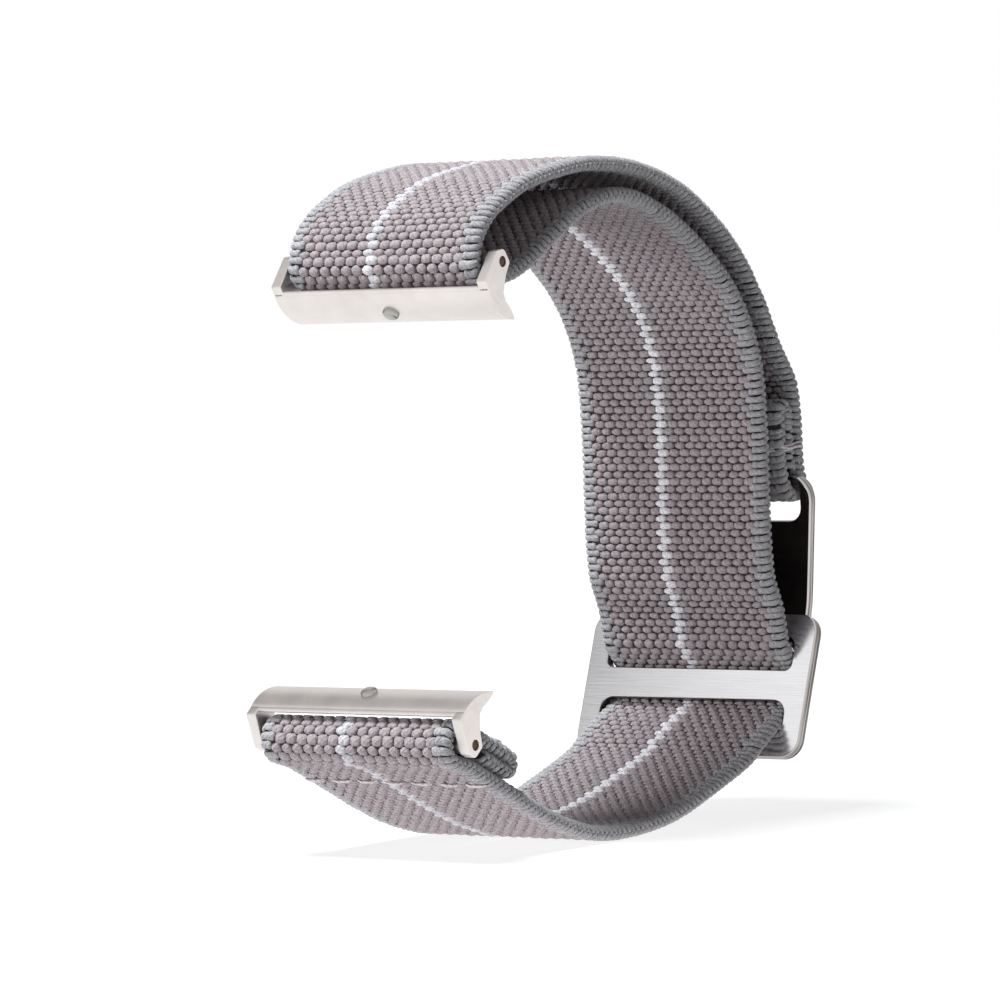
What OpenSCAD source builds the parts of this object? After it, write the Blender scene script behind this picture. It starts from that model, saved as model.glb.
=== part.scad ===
/* [Webbing] */
// Width of the webbing
webbing_w = 20; // [16:0.5:22]
// Thickness of the webbing
webbing_t = 1.3; // [1:0.05:1.45]
// Air between the webbing and a bar or rail that it turns round
wrap_gap = 0.06; // [0.05:0.01:0.12]
// Air between two layers that are sewn on each other
layer_gap = 0.05; // [0.04:0.01:0.1]

/* [Loop] */
// Distance between the axes of the two spring bars
bar_span = 39.4; // [34:0.2:46]
// Distance from the spring bars back to the slider's middle
loop_depth = 46.1; // [40:0.1:56]
// Height of the outer layer's crest above the upper spring bar
outer_rise = 10.5; // [9.5:0.1:14]
// Height of the inner layer's crest above the upper spring bar
inner_rise = 8; // [7:0.1:8.5]
// Depth of the lowest webbing below the lower spring bar
loop_drop = 6.25; // [5:0.05:9]
// Angle that the loop leans back when it stands on its bottom
lean = 8; // [0:0.5:12]

/* [Sewn ends] */
// Length of the folded end at the lower spring bar, measured from the fold's middle
low_fold = 1.9; // [1.5:0.1:3]
// Length of the folded end above the hook plate's rail
tail_fold = 6.2; // [5.6:0.1:7]
// Thickness of the sewing thread
thread_t = 0.3; // [0.2:0.05:0.4]
// Length of one stitch
stitch_l = 2.2; // [1.5:0.1:2.6]
// From the webbing's edge to the first stitch
stitch_side = 0.4; // [0:0.1:1]
// Number of stitches in a row
stitch_count = 7; // [5:1:7]
// Width of one stitch
stitch_w = 0.4; // [0.3:0.05:0.5]
// Height of the sewn row above the rail
tail_row = 3.3; // [2.8:0.1:4]
// Distance of the sewn row behind the lower fold's middle
low_row = 0.4; // [0:0.1:1]

/* [Spring bars] */
// Outer diameter of the bar's tube
bar_d = 1.5; // [1.5:0.05:1.8]
// Bore of the bar's tube
bar_bore = 1.1; // [1.05:0.05:1.2]
// Diameter of the tip that enters the arm
tip_d = 0.84; // [0.7:0.02:0.9]
// Running clearance round the tip and its shank
tip_gap = 0.03; // [0.02:0.01:0.06]
// How far a tip can be pushed in
tip_travel = 1.2; // [1.1:0.05:1.5]
// Air between the tube's end and the arm
bar_end_gap = 0.15; // [0.05:0.05:0.3]
// Length of a tip's shank inside the tube
shank_l = 2.6; // [2:0.1:4]

/* [Adapters] */
// Air between the webbing's edge and an arm
arm_air = 0.3; // [0.2:0.05:0.6]
// Thickness of an arm
arm_t = 1; // [0.8:0.05:1.3]
// Distance from the spring bar forward to the foot of an arm
arm_reach = 2.2; // [2.1:0.05:2.5]
// Width of the tongue's oval section
tongue_w = 4.3; // [3.8:0.1:4.6]
// Thickness of the tongue at its middle
tongue_t = 1.15; // [1:0.05:1.4]
// Angle of the tongue to the adapter's front-to-back line
tongue_tilt = 27.7; // [22:0.1:32]
// Diameter of the lock pin
lock_d = 1.4; // [1:0.1:1.8]
// Height of the lock pin over the tongue
lock_out = 0.4; // [0.2:0.05:0.5]
// Travel of the lock pin
lock_travel = 0.35; // [0.15:0.05:0.45]

/* [Slider] */
// Air between the webbing's edge and the end of a slot
slot_air = 0.15; // [0.1:0.05:0.8]
// Width of the slider's plate beside its slots
slider_side = 1.85; // [1.4:0.05:3]
// Height of the slider plate
slider_h = 12.9; // [12.6:0.1:15]
// Thickness of the slider plate
slider_t = 1; // [0.8:0.05:1.1]
// Height of the top and bottom bars
slider_end_bar = 1.95; // [1.4:0.05:2]
// Height of the cross bar in the middle
slider_cross_bar = 2.7; // [2:0.05:2.8]
// Radius of the top outer corners
slider_top_r = 1.5; // [0.5:0.1:2]
// Radius of the bottom outer corners
slider_low_r = 1.75; // [0.5:0.05:2.5]
// Height of the slider's middle against the middle of the spring bars
slider_z = -11.9; // [-13:0.1:-11]
// Angle of the slider plate to the loop's height
slider_tilt = 10.6; // [6:0.1:14]

/* [Hook plate] */
// Width of the hook plate beside its slot
hook_side = 1.15; // [0.9:0.05:1.6]
// Width of the hook plate beyond its slot's line where it meets the slider
hook_low_side = 0.15; // [0.1:0.05:0.8]
// Thickness of the hook plate
hook_t = 0.9; // [0.7:0.05:1]
// Diameter of the round rail that the tail turns round
rail_d = 1.1; // [1:0.05:1.2]
// Height of the slot under the rail
hook_slot_h = 3; // [2.8:0.1:3.6]
// Radius of the hook plate's top corners
hook_corner_r = 2.2; // [1.5:0.1:2.4]
// Air between the hook plate and the slider's face
hook_gap = 0.2; // [0.15:0.05:0.3]
// Thickness of the hook's lip
lip_t = 0.7; // [0.5:0.05:0.75]
// Air between the lip and the slider's top bar
lip_gap = 0.3; // [0.25:0.05:0.35]
// Air on each side of the lip in the slider's slot
lip_side = 0.75; // [0.6:0.05:1.5]
// How far the lip reaches behind the slider's outer face
lip_reach = 0.4; // [0.3:0.05:0.5]

/* [Hidden] */
$fn = 48;
webbing_colour = "#8f8586";
thread_colour = "#d8d2c8";
adapter_colour = "#d3cdc8";
steel_colour = "#b9babd";
tip_colour = "#6b5a50";

// Lengths that follow from the sizes above
half_t = webbing_t / 2;
adapter_w = webbing_w + 2 * arm_air + 2 * arm_t;
slider_slot_w = webbing_w + 2 * slot_air;
slider_w = slider_slot_w + 2 * slider_side;
hook_slot_w = webbing_w + 2 * slot_air;
hook_w = hook_slot_w + 2 * hook_side;
hook_low_w = hook_slot_w + 2 * hook_low_side;
stitch_pitch = (webbing_w - stitch_l - 2 * stitch_side) / (stitch_count - 1);
layer = webbing_t + layer_gap;
bar_z = bar_span / 2;
wrap_r = bar_d / 2 + wrap_gap + half_t;
rail_wrap_r = rail_d / 2 + wrap_gap + half_t;
ky = loop_depth / 46.1;
kz = bar_span / 39.4;
ko = outer_rise / 10.5;
ki = inner_rise / 8;
kd = loop_drop / 6.25;
kt = webbing_t / 1.3;
kw = wrap_r / 1.46;
kr = rail_wrap_r / 1.26;
ka = arm_reach / 2.2;

// Points of a smooth curve through the given ones, without the last one
function knot(p, i) =
    i < 0 ? 2 * p[0] - p[1] : i >= len(p) ? 2 * p[len(p) - 1] - p[len(p) - 2] : p[i];
function blend(a, b, c, d, u) =
    b + u * (c - a) / 2 + u * u * (2 * a - 5 * b + 4 * c - d) / 2 + u * u * u * (3 * b - a - 3 * c + d) / 2;
function curve(p, n) = [for (i = [0:len(p) - 2], k = [0:n - 1])
    blend(knot(p, i - 1), p[i], p[i + 1], knot(p, i + 2), k / n)];
function arc(c, r, from, to, n) = [for (k = [0:n]) let (a = from + (to - from) * k / n)
    c + r * [cos(a), sin(a)]];

// Rounds the corner at b, between a and c, to the radius r
function unit(v) = v / norm(v);
function corner(a, b, c, r, n) =
    let (p = unit(a - b), q = unit(c - b), half = acos(p * q) / 2, m = b + unit(p + q) * r / sin(half),
        f = b + p * r / tan(half), g = b + q * r / tan(half),
        s = atan2(f[1] - m[1], f[0] - m[0]), e = atan2(g[1] - m[1], g[0] - m[0]),
        turn = e - s > 180 ? e - s - 360 : e - s < -180 ? e - s + 360 : e - s)
    [for (k = [0:n]) let (w = s + turn * k / n) m + r * [cos(w), sin(w)]];

// The slider's own directions: u runs down the plate, w runs out through it
function on_slider(u, w) = [loop_depth - u * sin(slider_tilt) + w * cos(slider_tilt),
    slider_z * kz - u * cos(slider_tilt) - w * sin(slider_tilt)];
slot_in = slider_cross_bar / 2;
slot_out = slider_h / 2 - slider_end_bar;

// The rail's own directions: v runs up the tail, n runs outwards
rail = [46.1 * ky, 6.2 * kz];
tail_lean = 20;
function on_rail(v, n) = rail + v * [-sin(tail_lean), cos(tail_lean)] + n * [cos(tail_lean), sin(tail_lean)];

// The lower sewn end's own directions: v runs back along the main run, n runs inwards
low_start = [4.2 * kw, -bar_z - 2.5 * kw];
low_lean = 18;
function on_fold(v, n) =
    low_start + v * [cos(low_lean), -sin(low_lean)] + n * [sin(low_lean), cos(low_lean)];

// Where the webbing crosses the slider's slots, at 60 degrees to the plate in the upper and 45 in the lower
cross_gap = 0.1 * kt;
pass_out = slider_t / 2 + cross_gap + half_t;
pass_in = slider_t / 2 + 1.5 * cross_gap + half_t;
function cross_u(a) = slot_in + (half_t + cross_gap + slider_t / 2 * cos(a)) / sin(a);
cross_top = cross_u(60) - pass_out / tan(60);
cross_end = cross_u(60) + pass_in / tan(60);
low_top = cross_u(45) - pass_out / tan(45);
low_end = cross_u(45) + pass_in / tan(45);
cross_r = half_t + 0.6 * kt;
slider_edge = slider_h / 2 - 1.5 * cross_gap;
leave_low = on_slider(slider_edge, -pass_in - 1.7 * kt);
leave_top = on_slider(-slider_edge, -pass_in - 1.7 * kt);

// The webbing's middle line, from its tucked lower end to its tucked tail end
lower_line = concat(
    [on_fold(-1.6 * kw, layer), on_fold(0, layer)],
    [for (k = [0:8]) on_fold(low_fold + layer / 2 * sin(k * 22.5), layer * (1.5 - cos(k * 22.5) / 2))],
    [on_fold(-0.6 * kw, 2 * layer)],
    arc([0, -bar_z], wrap_r, 62, 262, 16),
    curve([on_fold(-2.6 * kw, 0), on_fold(-1.6 * kw, 0), on_fold(0.9 * kw, 0), on_fold(3.4 * kw, 0),
        on_fold(4.6 * kw, 0),
        [11 * ky, -bar_z - 4.7 * kd], [15.2 * ky, -bar_z - 5.75 * kd], [20 * ky, -bar_z - 6.25 * kd],
        [25.2 * ky, -bar_z - 5.6 * kd], [30.8 * ky, -bar_z - 4 * kd], [36.2 * ky, -bar_z - 1.4 * kd],
        on_slider(slider_edge + 1.45 * kt, -pass_in - 2.9 * kt), leave_low], 5));
slider_line = concat(
    [leave_low],
    corner(leave_low, on_slider(low_end, -pass_in), on_slider(low_top, pass_out), cross_r, 6),
    corner(on_slider(low_end, -pass_in), on_slider(low_top, pass_out),
        on_slider(-cross_top, pass_out), cross_r, 6),
    corner(on_slider(low_top, pass_out), on_slider(-cross_top, pass_out),
        on_slider(-cross_end, -pass_in), cross_r, 6),
    corner(on_slider(-cross_top, pass_out), on_slider(-cross_end, -pass_in),
        leave_top, cross_r, 6));
inner_line = concat(
    curve([leave_top, [42.8 * ky, -2.9 * kz], [41.9 * ky, 0.4 * kz],
        [41.2 * ky, 4.8 * kz], [40.4 * ky, 10 * kz], [38.8 * ky, bar_z - 3.5 * ki],
        [35.2 * ky, bar_z + 1.5 * ki], [29.4 * ky, bar_z + 5.2 * ki], [23.6 * ky, bar_z + 7.4 * ki],
        [18 * ky, bar_z + 8 * ki], [12.9 * ky, bar_z + 6.2 * ki], [9 * ky, bar_z + 3.4 * ki],
        [5.4 * kw, bar_z + 0.6 * kw], [2.7 * kw, bar_z - 0.8 * kw],
        [wrap_r * cos(65), bar_z - wrap_r * sin(65)]], 5),
    arc([0, bar_z], wrap_r, 295, 182, 9));
outer_line = curve([[-wrap_r, bar_z], [-1.15 * kw, bar_z + 1.95 * ko], [0.2 * kw, bar_z + 3.95 * ko],
    [2.5 * ky, bar_z + 5.75 * ko], [5 * ky, bar_z + 7.25 * ko], [8.8 * ky, bar_z + 8.7 * ko],
    [13.5 * ky, bar_z + 10 * ko], [19.7 * ky, bar_z + 10.5 * ko], [25.8 * ky, bar_z + 9.7 * ko],
    [31 * ky, bar_z + 7.7 * ko], [35.2 * ky, bar_z + 5.1 * ko], [38.8 * ky, bar_z + 1.6 * ko],
    [41.7 * ky, bar_z - 2.1 * ko], on_rail(8.6 * kr, layer)], 4);
tail_line = concat(
    [for (v = [8.6, 6.5, 4.5, 2.4]) on_rail(v * kr, layer)],
    arc(rail, rail_wrap_r, tail_lean, tail_lean - 180, 14),
    [on_rail(2 * kr, -layer), on_rail(4 * kr, -layer)],
    [for (k = [0:8]) on_rail(tail_fold + layer / 2 * sin(k * 22.5), -layer * (1 + cos(k * 22.5)) / 2)],
    [on_rail(4 * kr, 0), on_rail(rail_d / 2 + 0.6 * kr, 0)]);
line = concat(lower_line, slider_line, inner_line, outer_line, tail_line);
at_slider = len(lower_line);
at_inner = at_slider + len(slider_line);
at_outer = at_inner + len(inner_line);
at_tail = at_outer + len(outer_line);
at_end = len(line) - 1;

// Outline of the webbing between two places on its middle line
function heading(i) = unit(line[min(i + 1, at_end)] - line[max(i - 1, 0)]);
function face(i, d) = line[i] + d * [-heading(i)[1], heading(i)[0]];
function ribbon(a, b) = concat([for (i = [a:b]) face(i, half_t)], [for (i = [b:-1:a]) face(i, -half_t)]);

// The hook plate's middle line, its bend beside the slider and its lower end
hook_out = slider_t / 2 + hook_gap + hook_t / 2;
hook_bend = on_slider(-slider_h / 2 - 0.72 * hook_t, hook_out);
lip_top = slot_out - lip_gap;
hook_end = on_slider(-lip_top + lip_t, hook_out);
hook_down = unit(hook_bend - rail);
hook_tilt = atan2(hook_down[0], -hook_down[1]);
hook_line = [rail, hook_bend, hook_end];

// The adapter's side outline, measured from the spring bar's axis
arm_outline = ka * [[-2.2, -1.9], [-0.8, 0.8], [0.1, 1.1], [1, 0.1], [0.6, -1], [0.35, -2.55],
    [0.75, -3.1], [0.2, -3.5], [-1.6, -2.6]];
web_outline = ka * [[-2.2, -1.9], [-0.6, -2.45], [0.35, -2.55], [0.75, -3.1], [0.2, -3.5], [-1.6, -2.6]];
tongue_mid = ka * [0.2, -3.5];
lock_floor = tongue_t / 2 - 0.2;
tongue_r = (pow(tongue_w / 2, 2) + pow(tongue_t / 2, 2)) / tongue_t;

// Box of the leaning part, so that its origin is at the middle of its base
function leant(p) = [p[0] * cos(lean) + p[1] * sin(lean), p[1] * cos(lean) - p[0] * sin(lean)];
edge_points = concat([for (i = [0:at_end], s = [-1, 1]) leant(face(i, s * half_t))],
    [for (p = arm_outline, s = [-1, 1]) leant([p[0], s * (bar_z + p[1])])],
    [for (u = [-1, 1], w = [-1, 1]) leant(on_slider(u * slider_h / 2, w * slider_t / 2))],
    [leant(hook_bend + hook_t / 2 * [cos(hook_tilt - slider_tilt), sin(hook_tilt - slider_tilt)])]);
edge_y = [for (p = edge_points) p[0]];
edge_z = [for (p = edge_points) p[1]];
shift_y = -(min(edge_y) + max(edge_y)) / 2;
shift_z = -min(edge_z);

module stand() translate([0, shift_y, shift_z]) rotate([-lean, 0, 0]) children();
module side_view(w) rotate([90, 0, 90]) linear_extrude(w, center = true) children();
module front_view(d) rotate([90, 0, 0]) linear_extrude(d, center = true) children();
module along_x(a, b, d) translate([a, 0, 0]) rotate([0, 90, 0]) cylinder(h = b - a, d = d);
module at_slider_plate() translate([0, loop_depth, slider_z * kz]) rotate([-slider_tilt, 0, 0]) children();

module rounded_plate(w, h, top_r, low_r) {
    translate([-w / 2, low_r - h / 2]) square([w, h - top_r - low_r]);
    translate([top_r - w / 2, 0]) square([w - 2 * top_r, h / 2]);
    translate([low_r - w / 2, -h / 2]) square([w - 2 * low_r, h / 2]);
    for (s = [-1, 1]) {
        translate([s * (w / 2 - top_r), h / 2 - top_r]) circle(top_r);
        translate([s * (w / 2 - low_r), low_r - h / 2]) circle(low_r);
    }
}

module webbing(a, b) color(webbing_colour) stand() side_view(webbing_w) polygon(ribbon(a, b));

module stitches(turn) color(thread_colour) for (k = [0:stitch_count - 1])
    translate([(k - (stitch_count - 1) / 2) * stitch_pitch, 0, 0]) rotate([turn, 0, 0])
        cube([stitch_l, thread_t, stitch_w], center = true);

module tail_stitching() stand() for (s = [-1, 1])
    translate([0, on_rail(tail_row, s * (layer + half_t + thread_t / 2 + 0.01))[0],
        on_rail(tail_row, s * (layer + half_t + thread_t / 2 + 0.01))[1]]) stitches(tail_lean);

module lower_end_stitching() stand() for (n = [-half_t - thread_t / 2 - 0.01,
    2 * layer + half_t + thread_t / 2 + 0.01])
    translate([0, on_fold(low_row, n)[0], on_fold(low_row, n)[1]]) stitches(90 - low_lean);

module slider_plate() color(steel_colour) stand() at_slider_plate() difference() {
    front_view(slider_t) rounded_plate(slider_w, slider_h, slider_top_r, slider_low_r);
    translate([0, 0, (slot_in + slot_out) / 2]) front_view(slider_t + 1)
        rounded_plate(slider_slot_w, slot_out - slot_in, 0.7, 0.7);
    translate([0, 0, -(slot_in + slot_out) / 2]) front_view(slider_t + 1)
        rounded_plate(slider_slot_w, slot_out - slot_in, 1.3, 0.7);
}

module hook_outline() {
    top = rail[1] + rail_d / 2;
    low = hook_end[1] - 1;
    intersection() {
        translate([0, top - bar_span / 4]) rounded_plate(hook_w, bar_span / 2, hook_corner_r, 0.5);
        polygon([[-hook_w / 2, top], [-hook_low_w / 2, hook_bend[1]], [-hook_low_w / 2, low],
            [hook_low_w / 2, low], [hook_low_w / 2, hook_bend[1]], [hook_w / 2, top]]);
    }
}

module hook_plate() color(steel_colour) stand() {
    intersection() {
        union() {
            difference() {
                side_view(hook_w) polygon(hook_side());
                translate([0, rail[0], rail[1]]) rotate([hook_tilt, 0, 0])
                    translate([0, 0, -hook_slot_h / 2]) front_view(4)
                        rounded_plate(hook_slot_w, hook_slot_h + rail_d, 0.4, 1.2);
            }
            translate([0, rail[0], rail[1]]) along_x(-hook_w / 2, hook_w / 2, rail_d);
        }
        translate([0, rail[0], 0]) front_view(bar_span) hook_outline();
    }
}

module hook_lip() color(steel_colour) stand() at_slider_plate()
    translate([lip_side - slider_slot_w / 2, slider_t / 2 - lip_reach, lip_top - lip_t])
        cube([slider_slot_w - 2 * lip_side, hook_gap + lip_reach, lip_t]);

// Side outline of the hook plate, from its rail round the bend to its lower end
function hook_side() =
    let (a = [cos(hook_tilt), sin(hook_tilt)], b = [cos(slider_tilt), -sin(slider_tilt)],
        m = unit(a + b) / cos((hook_tilt + slider_tilt) / 2))
    [rail + hook_t / 2 * a, hook_bend + hook_t / 2 * m, hook_end + hook_t / 2 * b,
        hook_end - hook_t / 2 * b, hook_bend - hook_t / 2 * m, rail - hook_t / 2 * a];

module at_bar(s) stand() translate([0, 0, s * bar_z]) mirror([0, 0, s < 0 ? 1 : 0]) children();
module on_tongue() translate([0, tongue_mid[0], tongue_mid[1]]) rotate([-tongue_tilt, 0, 0]) children();

module adapter() color(adapter_colour) difference() {
    union() {
        for (s = [-1, 1]) translate([s * (adapter_w - arm_t) / 2, 0, 0])
            side_view(arm_t) polygon(arm_outline);
        side_view(adapter_w) polygon(web_outline);
        on_tongue() side_view(adapter_w) intersection() {
            translate([0, tongue_r - tongue_t / 2]) circle(tongue_r, $fn = 96);
            translate([0, tongue_t / 2 - tongue_r]) circle(tongue_r, $fn = 96);
        }
    }
    along_x(-adapter_w, adapter_w, tip_d + 2 * tip_gap);
    on_tongue() translate([0, 0, -2]) cylinder(h = 2 + lock_floor, d = lock_d + 2 * tip_gap);
}

module lock_pin() color(tip_colour) on_tongue() translate([0, 0, -tongue_t / 2 - lock_out])
    cylinder(h = tongue_t / 2 + lock_out + lock_floor - 0.05 - lock_travel, d = lock_d);

shank_in = adapter_w / 2 - arm_t - bar_end_gap - shank_l - 0.4;
module bar_tube() color(steel_colour) difference() {
    along_x(-adapter_w / 2 + arm_t + bar_end_gap, adapter_w / 2 - arm_t - bar_end_gap, bar_d);
    along_x(-adapter_w, adapter_w, bar_bore);
}
module bar_tip() color(tip_colour) {
    along_x(shank_in, shank_in + shank_l, bar_bore - 2 * tip_gap);
    along_x(shank_in + shank_l - 0.1, adapter_w / 2 - 0.1, tip_d);
}
module bar_spring() color(steel_colour) difference() {
    along_x(-shank_in + 0.02, shank_in - 0.02, bar_bore - 0.1);
    along_x(-adapter_w, adapter_w, bar_bore - 0.5);
}

webbing(0, at_slider);  // webbing_lower_run
webbing(at_slider, at_inner);  // webbing_slider_run
webbing(at_inner, at_outer);  // webbing_inner_run
webbing(at_outer, at_tail);  // webbing_outer_run
webbing(at_tail, at_end);  // webbing_tail
tail_stitching();
lower_end_stitching();
hook_plate();
hook_lip();
slider_plate();
at_bar(1) adapter();  // upper_adapter
at_bar(-1) adapter();  // lower_adapter
at_bar(1) bar_tube();  // upper_bar_tube
at_bar(-1) bar_tube();  // lower_bar_tube
at_bar(1) bar_spring();  // upper_bar_spring
at_bar(-1) bar_spring();  // lower_bar_spring
at_bar(1) mirror([1, 0, 0]) bar_tip();  // upper_bar_tip_left
at_bar(1) bar_tip();  // upper_bar_tip_right
at_bar(-1) mirror([1, 0, 0]) bar_tip();  // lower_bar_tip_left
at_bar(-1) bar_tip();  // lower_bar_tip_right
at_bar(1) lock_pin();  // upper_lock_pin
at_bar(-1) lock_pin();  // lower_lock_pin
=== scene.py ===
import bpy
import bmesh
from math import acos, asin, atan2, ceil, cos, pi, radians, sin, tan
import numpy as np
from mathutils import Matrix, Vector


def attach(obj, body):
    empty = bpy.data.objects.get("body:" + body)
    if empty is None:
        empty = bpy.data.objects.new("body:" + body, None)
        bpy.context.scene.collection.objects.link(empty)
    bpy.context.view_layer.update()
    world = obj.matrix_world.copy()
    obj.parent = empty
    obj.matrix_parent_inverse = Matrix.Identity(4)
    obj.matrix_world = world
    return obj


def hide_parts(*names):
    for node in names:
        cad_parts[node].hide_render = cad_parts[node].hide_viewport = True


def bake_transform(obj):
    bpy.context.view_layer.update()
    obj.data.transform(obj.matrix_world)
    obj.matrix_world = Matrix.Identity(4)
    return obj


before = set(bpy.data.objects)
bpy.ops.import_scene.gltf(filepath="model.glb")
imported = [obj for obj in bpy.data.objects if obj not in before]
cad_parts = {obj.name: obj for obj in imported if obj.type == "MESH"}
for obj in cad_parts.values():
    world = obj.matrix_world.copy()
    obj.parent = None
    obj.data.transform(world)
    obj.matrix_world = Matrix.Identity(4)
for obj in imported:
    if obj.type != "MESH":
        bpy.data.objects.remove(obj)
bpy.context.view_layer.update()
print("frame loaded")

# Lengths are worked out in mm with the strap upright, then placed in metres where it leans back
lean = {"angle": radians(8), "shiftY": -21.7863, "shiftZ": 29.2946}


def placed(x, y, z):
    c, s = cos(lean["angle"]), sin(lean["angle"])
    x, y, z = np.broadcast_arrays(x, y, z)
    return np.stack([x, y * c + z * s + lean["shiftY"], z * c - y * s + lean["shiftZ"]], -1) / 1000


def linearColour(code):
    parts = [int(code[i:i + 2], 16) / 255 for i in (1, 3, 5)]
    return tuple(p / 12.92 if p <= 0.04045 else ((p + 0.055) / 1.055) ** 2.4 for p in parts) + (1.0,)


def setStops(band, stops):
    while len(band.elements) > 1:
        band.elements.remove(band.elements[-1])
    band.elements[0].position, band.elements[0].color = stops[0][0], linearColour(stops[0][1])
    for place, code in stops[1:]:
        band.elements.new(place).color = linearColour(code)


def nodeAdder(tree):
    # Inputs go by name, or by number where several are alike; a node as a source means its first output
    def add(kind, settings=None, links=None):
        node = tree.nodes.new("ShaderNode" + kind)
        for key, value in (settings or {}).items():
            if key == "stops":
                setStops(node.color_ramp, value)
            elif isinstance(key, int) or key in node.inputs and not hasattr(type(node), key):
                node.inputs[key].default_value = value
            else:
                setattr(node, key, value)
        for key, source in (links or {}).items():
            tree.links.new(source.outputs[0] if hasattr(source, "outputs") else source, node.inputs[key])
        return node
    return add


def startMaterial(name):
    material = bpy.data.materials.new(name)
    material.use_nodes = True
    material.node_tree.nodes.clear()
    return material, nodeAdder(material.node_tree)


def endMaterial(add, links, settings):
    shader = add("BsdfPrincipled", settings, links)
    add("OutputMaterial", links={"Surface": shader})


noiseSpan = {"From Min": 0.3, "From Max": 0.7}    # nearly all values of a noise lie in this span
bandTurn = 6.283    # slanting bands come out 2.3 times as wide as their real size, so that they show
yarnLook = {
    "bodyHues": [(0.0, "#8b868a"), (0.35, "#92898d"), (0.65, "#968b8f"), (1.0, "#988b8d")],
    "paleHues": [(0.0, "#c6c4ca"), (0.5, "#cfcdd2"), (1.0, "#d6d4d8")],
    # a greyer copy of the pale line, painted shade for the faces the lamps light strongly
    "shadedPaleHues": [(0.0, "#aaa7ad"), (0.5, "#b3b0b6"), (1.0, "#bbb9be")],
    "selvedgeHues": [(0.0, "#908d91"), (0.5, "#979599"), (1.0, "#9e9a9d")],
    "coreHues": [(0.3, "#2b2627"), (0.7, "#413a3b")],
    "strandMm": 0.12,      # one filament bundle of the textured yarn
    "speckMm": 0.12,       # loops of the textured filament, a little coarser than they are so that they show
    "heatherMm": 0.5,      # patches where one of the plied colours comes up
    "coreMm": 0.25,
    "beadShare": 0.35, "patchShare": 0.65,    # how much of the tone goes by the bead, and by the patch
    "speckShade": (0.74, 1.26),
    "roughness": (0.78, 0.95),
    "bumpDeep": 0.00004,
}


def yarnMaterial(name, hues, mottled):
    # Air-textured nylon yarn, woven: matt, each bead a slightly different tone, with fine slanting filaments
    material, add = startMaterial(name)
    look = yarnLook
    island = add("NewGeometry").outputs["Random Per Island"]
    where = add("TexCoord").outputs["Object"]
    strand = add("Attribute", {"attribute_name": "strand"}).outputs["Vector"]
    heather = add("TexNoise",
            {"Scale": 1000 / look["heatherMm"], "Detail": 3.0, "Roughness": 0.6}, {"Vector": where})
    patch = add("MapRange", {**noiseSpan, "To Max": look["patchShare"]}, {"Value": heather})
    choice = add("Math", {"operation": "MULTIPLY_ADD", 1: look["beadShare"]}, {0: island, 2: patch})
    tone = add("ValToRGB", {"stops": hues}, {"Fac": choice})
    speck = add("TexNoise",
            {"Scale": 1000 / look["speckMm"], "Detail": 2.0, "Roughness": 0.55}, {"Vector": where})
    filament = add("TexWave", {
        "Scale": 1000 / look["strandMm"] / bandTurn, "Distortion": 2.2, "Detail": 2.0, "Detail Scale": 1.4,
        "wave_type": "BANDS", "bands_direction": "DIAGONAL"}, {"Vector": strand}).outputs["Fac"]
    shade = add("MapRange", {"To Min": 1 - mottled, "To Max": 1 + mottled * 0.6}, {"Value": filament})
    dark, light = look["speckShade"]
    specked = add("MapRange",
            {"From Min": 0.36, "From Max": 0.64, "To Min": dark, "To Max": light}, {"Value": speck})
    both = add("Math", {"operation": "MULTIPLY"}, {0: shade, 1: specked})
    colour = add("VectorMath", {"operation": "SCALE"}, {0: tone, "Scale": both})
    low, high = look["roughness"]
    rough = add("MapRange", {"To Min": low, "To Max": high}, {"Value": speck})
    height = add("Math", {"operation": "MULTIPLY_ADD", 1: 2.0}, {0: speck, 2: filament})
    bump = add("Bump", {"Strength": 0.8, "Distance": look["bumpDeep"]}, {"Height": height})
    endMaterial(add, {"Base Color": colour, "Roughness": rough, "Normal": bump},
                {"Sheen Weight": 0.12, "Sheen Roughness": 0.5, "Specular IOR Level": 0.25, "IOR": 1.53})
    return material


def coreMaterial():
    # Warp yarns deep between the beads: dark, because hardly any light reaches them
    material, add = startMaterial("deepWarpYarn")
    where = add("TexCoord").outputs["Object"]
    noise = add("TexNoise", {"Scale": 1000 / yarnLook["coreMm"], "Detail": 3.0}, {"Vector": where})
    tone = add("ValToRGB", {"stops": yarnLook["coreHues"]}, {"Fac": noise})
    bump = add("Bump", {"Strength": 0.6, "Distance": yarnLook["bumpDeep"]}, {"Height": noise})
    endMaterial(add, {"Base Color": tone, "Normal": bump}, {"Roughness": 0.95, "Specular IOR Level": 0.1})
    return material


threadLook = {
    "hues": [(0.0, "#aaa3a5"), (0.6, "#bdb5b7"), (1.0, "#cdc5c3")],
    "plyMm": 0.16, "bumpDeep": 0.00005,
}


def threadMaterial():
    # Bonded polyester sewing thread: a little smoother than the webbing, with the slant of its twisted plies
    material, add = startMaterial("bondedPolyesterThread")
    island = add("NewGeometry").outputs["Random Per Island"]
    tone = add("ValToRGB", {"stops": threadLook["hues"]}, {"Fac": island})
    where = add("TexCoord").outputs["Object"]
    ply = add("TexWave", {
        "Scale": 1000 / threadLook["plyMm"] / bandTurn, "Distortion": 0.8, "bands_direction": "DIAGONAL"},
        {"Vector": where}).outputs["Fac"]
    shade = add("MapRange", {"To Min": 0.84, "To Max": 1.03}, {"Value": ply})
    colour = add("VectorMath", {"operation": "SCALE"}, {0: tone, "Scale": shade})
    bump = add("Bump", {"Strength": 0.7, "Distance": threadLook["bumpDeep"]}, {"Height": ply})
    endMaterial(add, {"Base Color": colour, "Normal": bump},
                {"Roughness": 0.6, "Sheen Weight": 0.15, "IOR": 1.56})
    return material


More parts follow.
